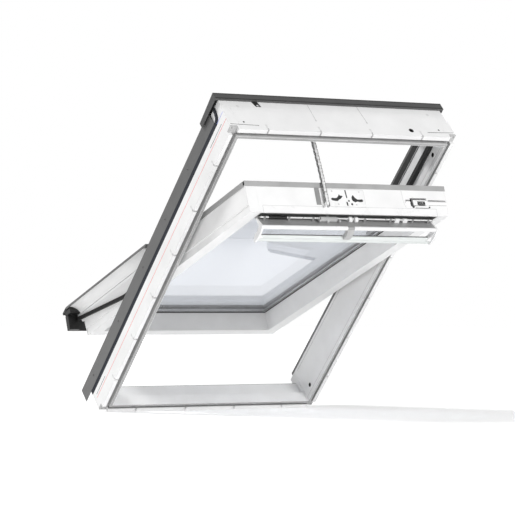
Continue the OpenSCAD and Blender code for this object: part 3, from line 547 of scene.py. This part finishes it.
def ribbed_gasket(s):
    """Side seal of the sash: a base band with four ribs, along a bent path of (y, z)."""
    path = [(30, -18.4), (30, -262), (70, -591)]
    bm = new()

    def offset(o):
        out = []
        for i, p in enumerate(path):
            q = path[min(i + 1, 2)]
            r = path[max(i - 1, 0)]
            d = Vector((q[0] - r[0], q[1] - r[1])).normalized()
            out.append((p[0] + d.y * -o, p[1] + d.x * o))
        return out

    def band(o0, o1, x0, x1):
        a, b = offset(o0), offset(o1)
        lo, hi = sorted((s * x0, s * x1))
        prism(bm, a + b[::-1], lo, hi)

    band(-6.5, 6.5, SIDE, SIDE + 2)
    for o in (-5.6, -2.2, 1.2, 4.6):
        band(o - 0.7, o + 0.7, SIDE + 1.5, SIDE + 6.6)
    name = "left" if s < 0 else "right"
    piece(f"side_seal_{name}", bm, S, "rubber_grey", "sash", bevel=0.25, segments=1,
          replaces=(f"sash_gasket_{name}",))


for side in (-1, 1):
    ribbed_gasket(side)


def sash_top_details():
    line = new()
    box(line, (-297, 21.7, SZ - 0.2), (303, 22.5, SZ + 0.12))
    for x in (-297.5, 303.3):
        box(line, (x - 0.35, -0.12, 541), (x + 0.35, 22, SZ + 0.12))
    # trim joint beside the bolt
    prism(line, [(188, 80), (188.8, 80), (191, 40), (197, 24), (196, 24), (190.2, 40)],
          SZ - 0.1, SZ + 0.1, "z")
    piece("top_trim_lines", line, S, "groove_soft", "sash")
    lock_face()
    bolt_housing()
    shade = new()
    # painted shade: a flat grey patch on the top face beside the chain slot
    box(shade, (-114, 27, SZ - 0.2), (-97.5, 84, SZ + 0.25))
    piece("chain_slot_shade", shade, S, "slot_grey", "sash")


def rounded(x0, x1, y0, y1, r, n=6):
    """Outline of a rectangle with round corners."""
    pts = []
    for cx, cy, a0 in ((x1 - r, y1 - r, 0), (x0 + r, y1 - r, 90), (x0 + r, y0 + r, 180),
                       (x1 - r, y0 + r, 270)):
        for i in range(n + 1):
            a = math.radians(a0 + 90 * i / n)
            pts.append((cx + r * math.cos(a), cy + r * math.sin(a)))
    return pts


def lock_face():
    """Face of the lock with four screws. The cut-outs are thin black pieces on top of it."""
    x0, x1 = CHAIN_X + 10, CHAIN_X + 139
    rim, plate, cut = new(), new(), new()
    prism(rim, rounded(x0, x1, 22.2, 77, 5), SZ + 0.01, SZ + 1.1, "z")
    prism(plate, rounded(x0 + 0.8, x1 - 0.6, 22.6, 76.4, 4.5), SZ + 0.02, SZ + 1.5, "z")
    left_lever = [(-63, 47), (-60, 42), (-50, 40), (-40, 40), (-36, 44), (-28, 48), (-21, 55),
                  (-25, 57), (-30, 57), (-33, 62), (-36, 56), (-42, 50), (-50, 49), (-58, 50)]
    right_lever = [(9, 52), (13, 59), (16, 59), (20, 52), (28, 46), (34, 46), (45, 47), (48, 43),
                   (46, 39), (36, 38), (28, 40), (20, 37), (13, 40), (9, 45)]
    slit = [(-11.5, 75), (-7.5, 75), (-5.5, 50), (-9.5, 50)]
    key_slot = [(-12, 38), (-7, 38), (-6, 26), (-11, 26)]
    base, thick = SZ + 1.2, 0.42
    for pts in (left_lever, right_lever, slit, key_slot):
        prism(cut, pts, base, base + thick, "z")
    lathe(cut, "z", (-2, 41, base), [(0, 3.2), (thick, 3.0)], 14)
    lathe(cut, "z", (7, 31, base), [(0, 3.6), (thick, 3.4)], 14)
    piece("lock_rim", rim, S, "groove_soft", "sash")
    piece("lock_face", plate, S, "white_trim", "sash", bevel=0.3, replaces=("lock_plate",))
    piece("lock_cut_outs", cut, S, "black", "sash", bevel=0.12, segments=1)
    heads = [(x, y, SZ + 1.4) for x, y in ((-55.6, 70), (37.5, 69), (-40, 29.5), (22, 29))]
    screws("lock_screws", S, "sash", heads, "z", 1, 2.3)


def bolt_housing():
    """Rounded housing of the barrel bolt, its strap and the rim of the finger pocket."""
    b = new()
    bolt_y, bolt_z = 41, SZ - 3.2
    lathe(b, "x", (196, bolt_y, bolt_z),
          [(0, 3.6), (1.2, 5.4), (3.5, 6.6), (16, 6.6), (17, 5.6)], 24)
    lathe(b, "x", (274, bolt_y, bolt_z), [(0, 5.6), (1, 6.6), (69, 6.6), (70, 5.6)], 24)
    box(b, (223, 32, SZ - 1), (238, 49, SZ + 2.2))
    box(b, (266, 32, SZ - 1), (277, 49, SZ + 2.2))
    box(b, (236, 45.5, SZ - 1), (268, 49, SZ + 2.2))
    box(b, (232, 25, SZ - 1), (276, 31, SZ + 1.6))
    piece("bolt_strap", b, S, "white_trim", "sash", bevel=0.5)
    line = new()
    for y in (33.6, 48.4):
        box(line, (277, y - 0.45, SZ - 1), (342, y + 0.45, SZ + 0.25))
    box(line, (230, 23.2, SZ - 1), (278, 24.8, SZ + 0.5))
    box(line, (236, 49.2, SZ - 1), (268, 50.4, SZ + 0.5))
    piece("bolt_shadow_lines", line, S, "groove", "sash")
    d = new()
    arc = [(216 + 8 * t * t, 51 - 26 * t, SZ + 0.6) for t in [i / 12 for i in range(13)]]
    tube(d, arc, [1.8 + 1.4 * i / 12 for i in range(13)], 10)
    lathe(d, "z", (280, 27, SZ - 0.5), [(0, 2.6), (1.4, 2.4)], 14)
    piece("bolt_latch_wire", d, S, "dark_steel", "sash", smooth=True)


sash_top_details()


def glazing_details():
    """Dark seal lines on both sides of the spacer, and the wedge seal on the inner pane."""
    gx, gt, gb = 297.0, 489.3, -496.7
    seal, wedge = new(), new()

    def ring(bm, outer, inner, y0, y1):
        for s in (-1, 1):
            lo, hi = sorted((s * (gx + outer), s * (gx + inner)))
            box(bm, (lo, y0, gb - outer), (hi, y1, gt + outer))
        for z0, z1 in ((gt + inner, gt + outer), (gb - outer, gb - inner)):
            box(bm, (-gx - inner, y0, z0), (gx + inner, y1, z1))

    ring(seal, 8.5, 6.6, 64.02, 67.4)
    ring(seal, 8.5, 6.6, 76.6, 79.98)
    ring(wedge, 1.5, -2.2, 57.6, 59.95)
    ring(wedge, -6.2, -8.6, 59.8, 59.97)
    strip = new()
    ring(strip, -2.3, -6.1, 59.85, 59.97)
    piece("spacer_strip", strip, S, "spacer_light", "sash")
    piece("spacer_seals", seal, S, "black", "sash")
    piece("wedge_seal", wedge, S, "rubber", "sash", bevel=0.3, segments=1)


def side_fillets():
    """Quarter-round hollow between the lower sash side and its cover."""
    arc = []
    for i in range(13):
        t = i / 12 * math.pi / 2
        arc.append((345.2 + 39 * (1 - math.cos(t)), 72 + 31.5 * math.sin(t)))
    for s in (-1, 1):
        bm = new()
        out = [(s * x, y) for x, y in arc] + [(s * 384.2, 107.2), (s * 346.7, 107.2),
                                              (s * 346.7, 80), (s * 345.05, 80), (s * 345.05, 72)]
        prism(bm, out, -566, -34, "z")
        piece(f"side_fillet_{'left' if s < 0 else 'right'}", bm, S, "white", "sash")


glazing_details()
side_fillets()

# ---------------------------------------------------------------- control bar


def coil(bm, x0, x1, y, z, r, wire, turns, steps=12):
    n = turns * steps
    path = [(x0 + (x1 - x0) * i / n, y + r * math.cos(2 * math.pi * i / steps),
             z + r * math.sin(2 * math.pi * i / steps)) for i in range(n + 1)]
    tube(bm, path, wire, 6, up=(0, 0.3, 1))


def control_bar_details():
    """Rod, spring, clips, lever and clasps in the trough of the flap, and on the bar a skin of
    painted highlight and a strip of painted shadow.
    """
    ry, rz = 7.1, 11.4
    rod = new()
    lathe(rod, "x", (-296, ry, rz), [(0, 2.4), (0.4, 2.9), (591.6, 2.9), (592, 2.4)], 16)
    piece("linkage_rod", rod, L, "zinc", "control_bar")
    sp = new()
    coil(sp, -268, -208, ry, rz, 4.0, 0.8, 36)
    piece("return_spring", sp, L, "dark_steel", "control_bar", smooth=True)
    br = new()
    for x in (-282, -200, -118, 60, 150, 228, 284):
        prism(br, [(-1.3, 7), (ry + 1, 7.6), (ry + 3.6, 9.6), (ry + 3.6, 13), (ry + 1, 15),
                   (-1.3, 15.8)], x - 3.5, x + 3.5)
    piece("rod_clips", br, L, "slot_grey", "control_bar", bevel=0.5)
    lv = new()
    prism(lv, [(-1.3, 4.5), (6, 4.5), (12, 7.5), (13, 14), (9, 20), (2, 21), (-1.3, 18)], -96, -38)
    prism(lv, [(-1.3, 4.5), (9, 4.5), (15, 9), (11, 17), (3, 24), (-1.3, 24)], -74, -66)
    prism(lv, [(2, 14), (8, 14), (10, 27), (5, 28)], -104, -98)
    prism(lv, [(2, 14), (8, 14), (10, 27), (5, 28)], -36, -30)
    piece("lever_block", lv, L, "grey_plastic", "control_bar", bevel=0.8)
    wc = new()
    for x in (2, 22):
        prism(wc, [(-1.3, 7), (12, 7), (14, 10), (14, 15), (8, 22), (3, 23), (-1.3, 19)], x, x + 11)
    box(wc, (-6, 2, 9), (42, 6, 12))
    for x in (165, 193):
        prism(wc, [(-1.3, 8), (10, 8), (12, 11), (11, 16), (-1.3, 17)], x, x + 16)
    piece("white_clasps", wc, L, "white_trim", "control_bar", bevel=0.7)
    # painted highlight: a whiter skin over the rounded nose
    nose = new()

    def nose_arc(r, angles):
        return [(-7.3 + r * math.cos(math.radians(a)), 42 + r * math.sin(math.radians(a)))
                for a in angles]

    skin = nose_arc(6.25, range(-60, 181, 15)) + nose_arc(6.02, range(180, -61, -15))
    for x0, x1 in ((-298.5, -11.4), (11.4, 298.5)):
        prism(nose, skin, x0, x1)
    piece("nose_highlight_skin", nose, L, "nose", "control_bar")
    # painted shadow: a dark strip along the lip of the handle
    hl = new()
    for x0, x1 in ((-297.5, -11.4), (11.4, 297.5)):
        box(hl, (x0, -39.4, 29.5), (x1, -38.7, 34.5))
    piece("handle_lip_shadow", hl, L, "groove", "control_bar", bevel=0.15, segments=1)


control_bar_details()


def end_cups():
    """Curved webs that fill the corners between the end caps and the handle."""
    for s in (-1, 1):
        bm = new()
        pts = [(299, -14), (297.2, -26), (293.5, -35), (288, -41.5), (283, -46.2), (299, -50.5)]
        pts = [(s * x, y) for x, y in pts]
        prism(bm, pts, 22.5, 40.5, "z")
        name = "left" if s < 0 else "right"
        piece(f"end_cup_{name}", bm, L, "white_trim", "control_bar", bevel=0.8)


end_cups()

# ---------------------------------------------------------------- stage, light, camera


FLOOR_GAP = 0.0008


def stage():
    """White paper floor just below the part."""
    bm = new()
    z = CAD_BOX[0][2] - FLOOR_GAP
    v = [bm.verts.new(p) for p in ((-30, -12, z), (30, -12, z), (30, 60, z), (-30, 60, z))]
    bm.faces.new(v)
    me = bpy.data.meshes.new("floor")
    bm.to_mesh(me)
    bm.free()
    ob = bpy.data.objects.new("floor", me)
    bpy.context.scene.collection.objects.link(ob)
    n = Nodes("floor_paper")
    co = n.add("ShaderNodeTexCoord").outputs["Object"]
    no = n.add("ShaderNodeTexNoise", Vector=co, Scale=3.0)
    ramp = n.add("ShaderNodeValToRGB")
    ramp.color_ramp.elements[0].color = (0.9, 0.9, 0.9, 1)
    ramp.color_ramp.elements[1].color = (0.92, 0.92, 0.92, 1)
    n.link(no.outputs["Fac"], ramp.inputs["Fac"])
    n.link(ramp.outputs["Color"], n.bsdf.inputs["Base Color"])
    n.bsdf.inputs["Roughness"].default_value = 0.9
    n.bsdf.inputs["Specular IOR Level"].default_value = 0.0
    n.bsdf.inputs["Emission Color"].default_value = (1, 1, 1, 1)
    # the paper glows, a painted light that grows away from the window, so that it runs into the
    # backdrop
    far = n.add("ShaderNodeVectorMath", operation="LENGTH")
    n.link(co, far.inputs[0])
    glow = n.add("ShaderNodeMapRange", Value=far.outputs["Value"])
    for k, v in (("From Min", 1.0), ("From Max", 9.0), ("To Min", 0.3), ("To Max", 0.8)):
        glow.inputs[k].default_value = v
    n.link(glow.outputs["Result"], n.bsdf.inputs["Emission Strength"])
    me.materials.append(n.m)


def area(name, at, aim, size, power):
    li = bpy.data.lights.new(name, "AREA")
    li.shape, li.size, li.size_y = "RECTANGLE", size[0], size[1]
    li.energy = power
    ob = bpy.data.objects.new(name, li)
    ob.location = at
    ob.rotation_euler = (Vector(aim) - Vector(at)).to_track_quat("-Z", "Y").to_euler()
    bpy.context.scene.collection.objects.link(ob)


stage()
# the backdrop lights the part softly, and is white to the camera and through the glass
LIGHTING, SEEN = 0.34, 1.0
w = bpy.data.worlds.new("studio")
bpy.context.scene.world = w
w.use_nodes = True
wt = w.node_tree
bg = wt.nodes["Background"]
bg.inputs["Color"].default_value = (1, 1, 1, 1)
bg.inputs["Strength"].default_value = LIGHTING
bg2 = wt.nodes.new("ShaderNodeBackground")
bg2.inputs["Color"].default_value = (1, 1, 1, 1)
bg2.inputs["Strength"].default_value = SEEN
lp = wt.nodes.new("ShaderNodeLightPath")
mx = wt.nodes.new("ShaderNodeMath")
mx.operation = "MAXIMUM"
wt.links.new(lp.outputs["Is Camera Ray"], mx.inputs[0])
wt.links.new(lp.outputs["Is Transmission Ray"], mx.inputs[1])
ms = wt.nodes.new("ShaderNodeMixShader")
wt.links.new(mx.outputs[0], ms.inputs[0])
wt.links.new(bg.outputs[0], ms.inputs[1])
wt.links.new(bg2.outputs[0], ms.inputs[2])
wt.links.new(ms.outputs[0], wt.nodes["World Output"].inputs["Surface"])

AIM = (0, 0, 0.1)
area("key", (-2.8, 2.2, 4.4), AIM, (1.4, 1.4), 210)
area("front", (1.2, -6.0, 2.6), AIM, (2.4, 2.0), 215)

# the camera of the photo, from the perspective fit
CAMERA_AT = (-3.984, -6.694, -0.115)
CAMERA_RIGHT = (0.8629, -0.5053, -0.0021)
CAMERA_UP = (-0.0097, -0.0209, 0.9997)
LENS = 177.7
cam_data = bpy.data.cameras.new("camera")
cam = bpy.data.objects.new("camera", cam_data)
bpy.context.scene.collection.objects.link(cam)
right = Vector(CAMERA_RIGHT)
up = Vector(CAMERA_UP)
right.normalize()
up = (up - right * up.dot(right)).normalized()
back = right.cross(up)
m = Matrix((right, up, back)).transposed().to_4x4()
m.translation = CAMERA_AT
cam.matrix_world = m
cam_data.sensor_width = 36.0
cam_data.lens = LENS
cam_data.clip_end = 200.0
bpy.context.scene.camera = cam
bpy.context.scene.view_settings.view_transform = "Standard"
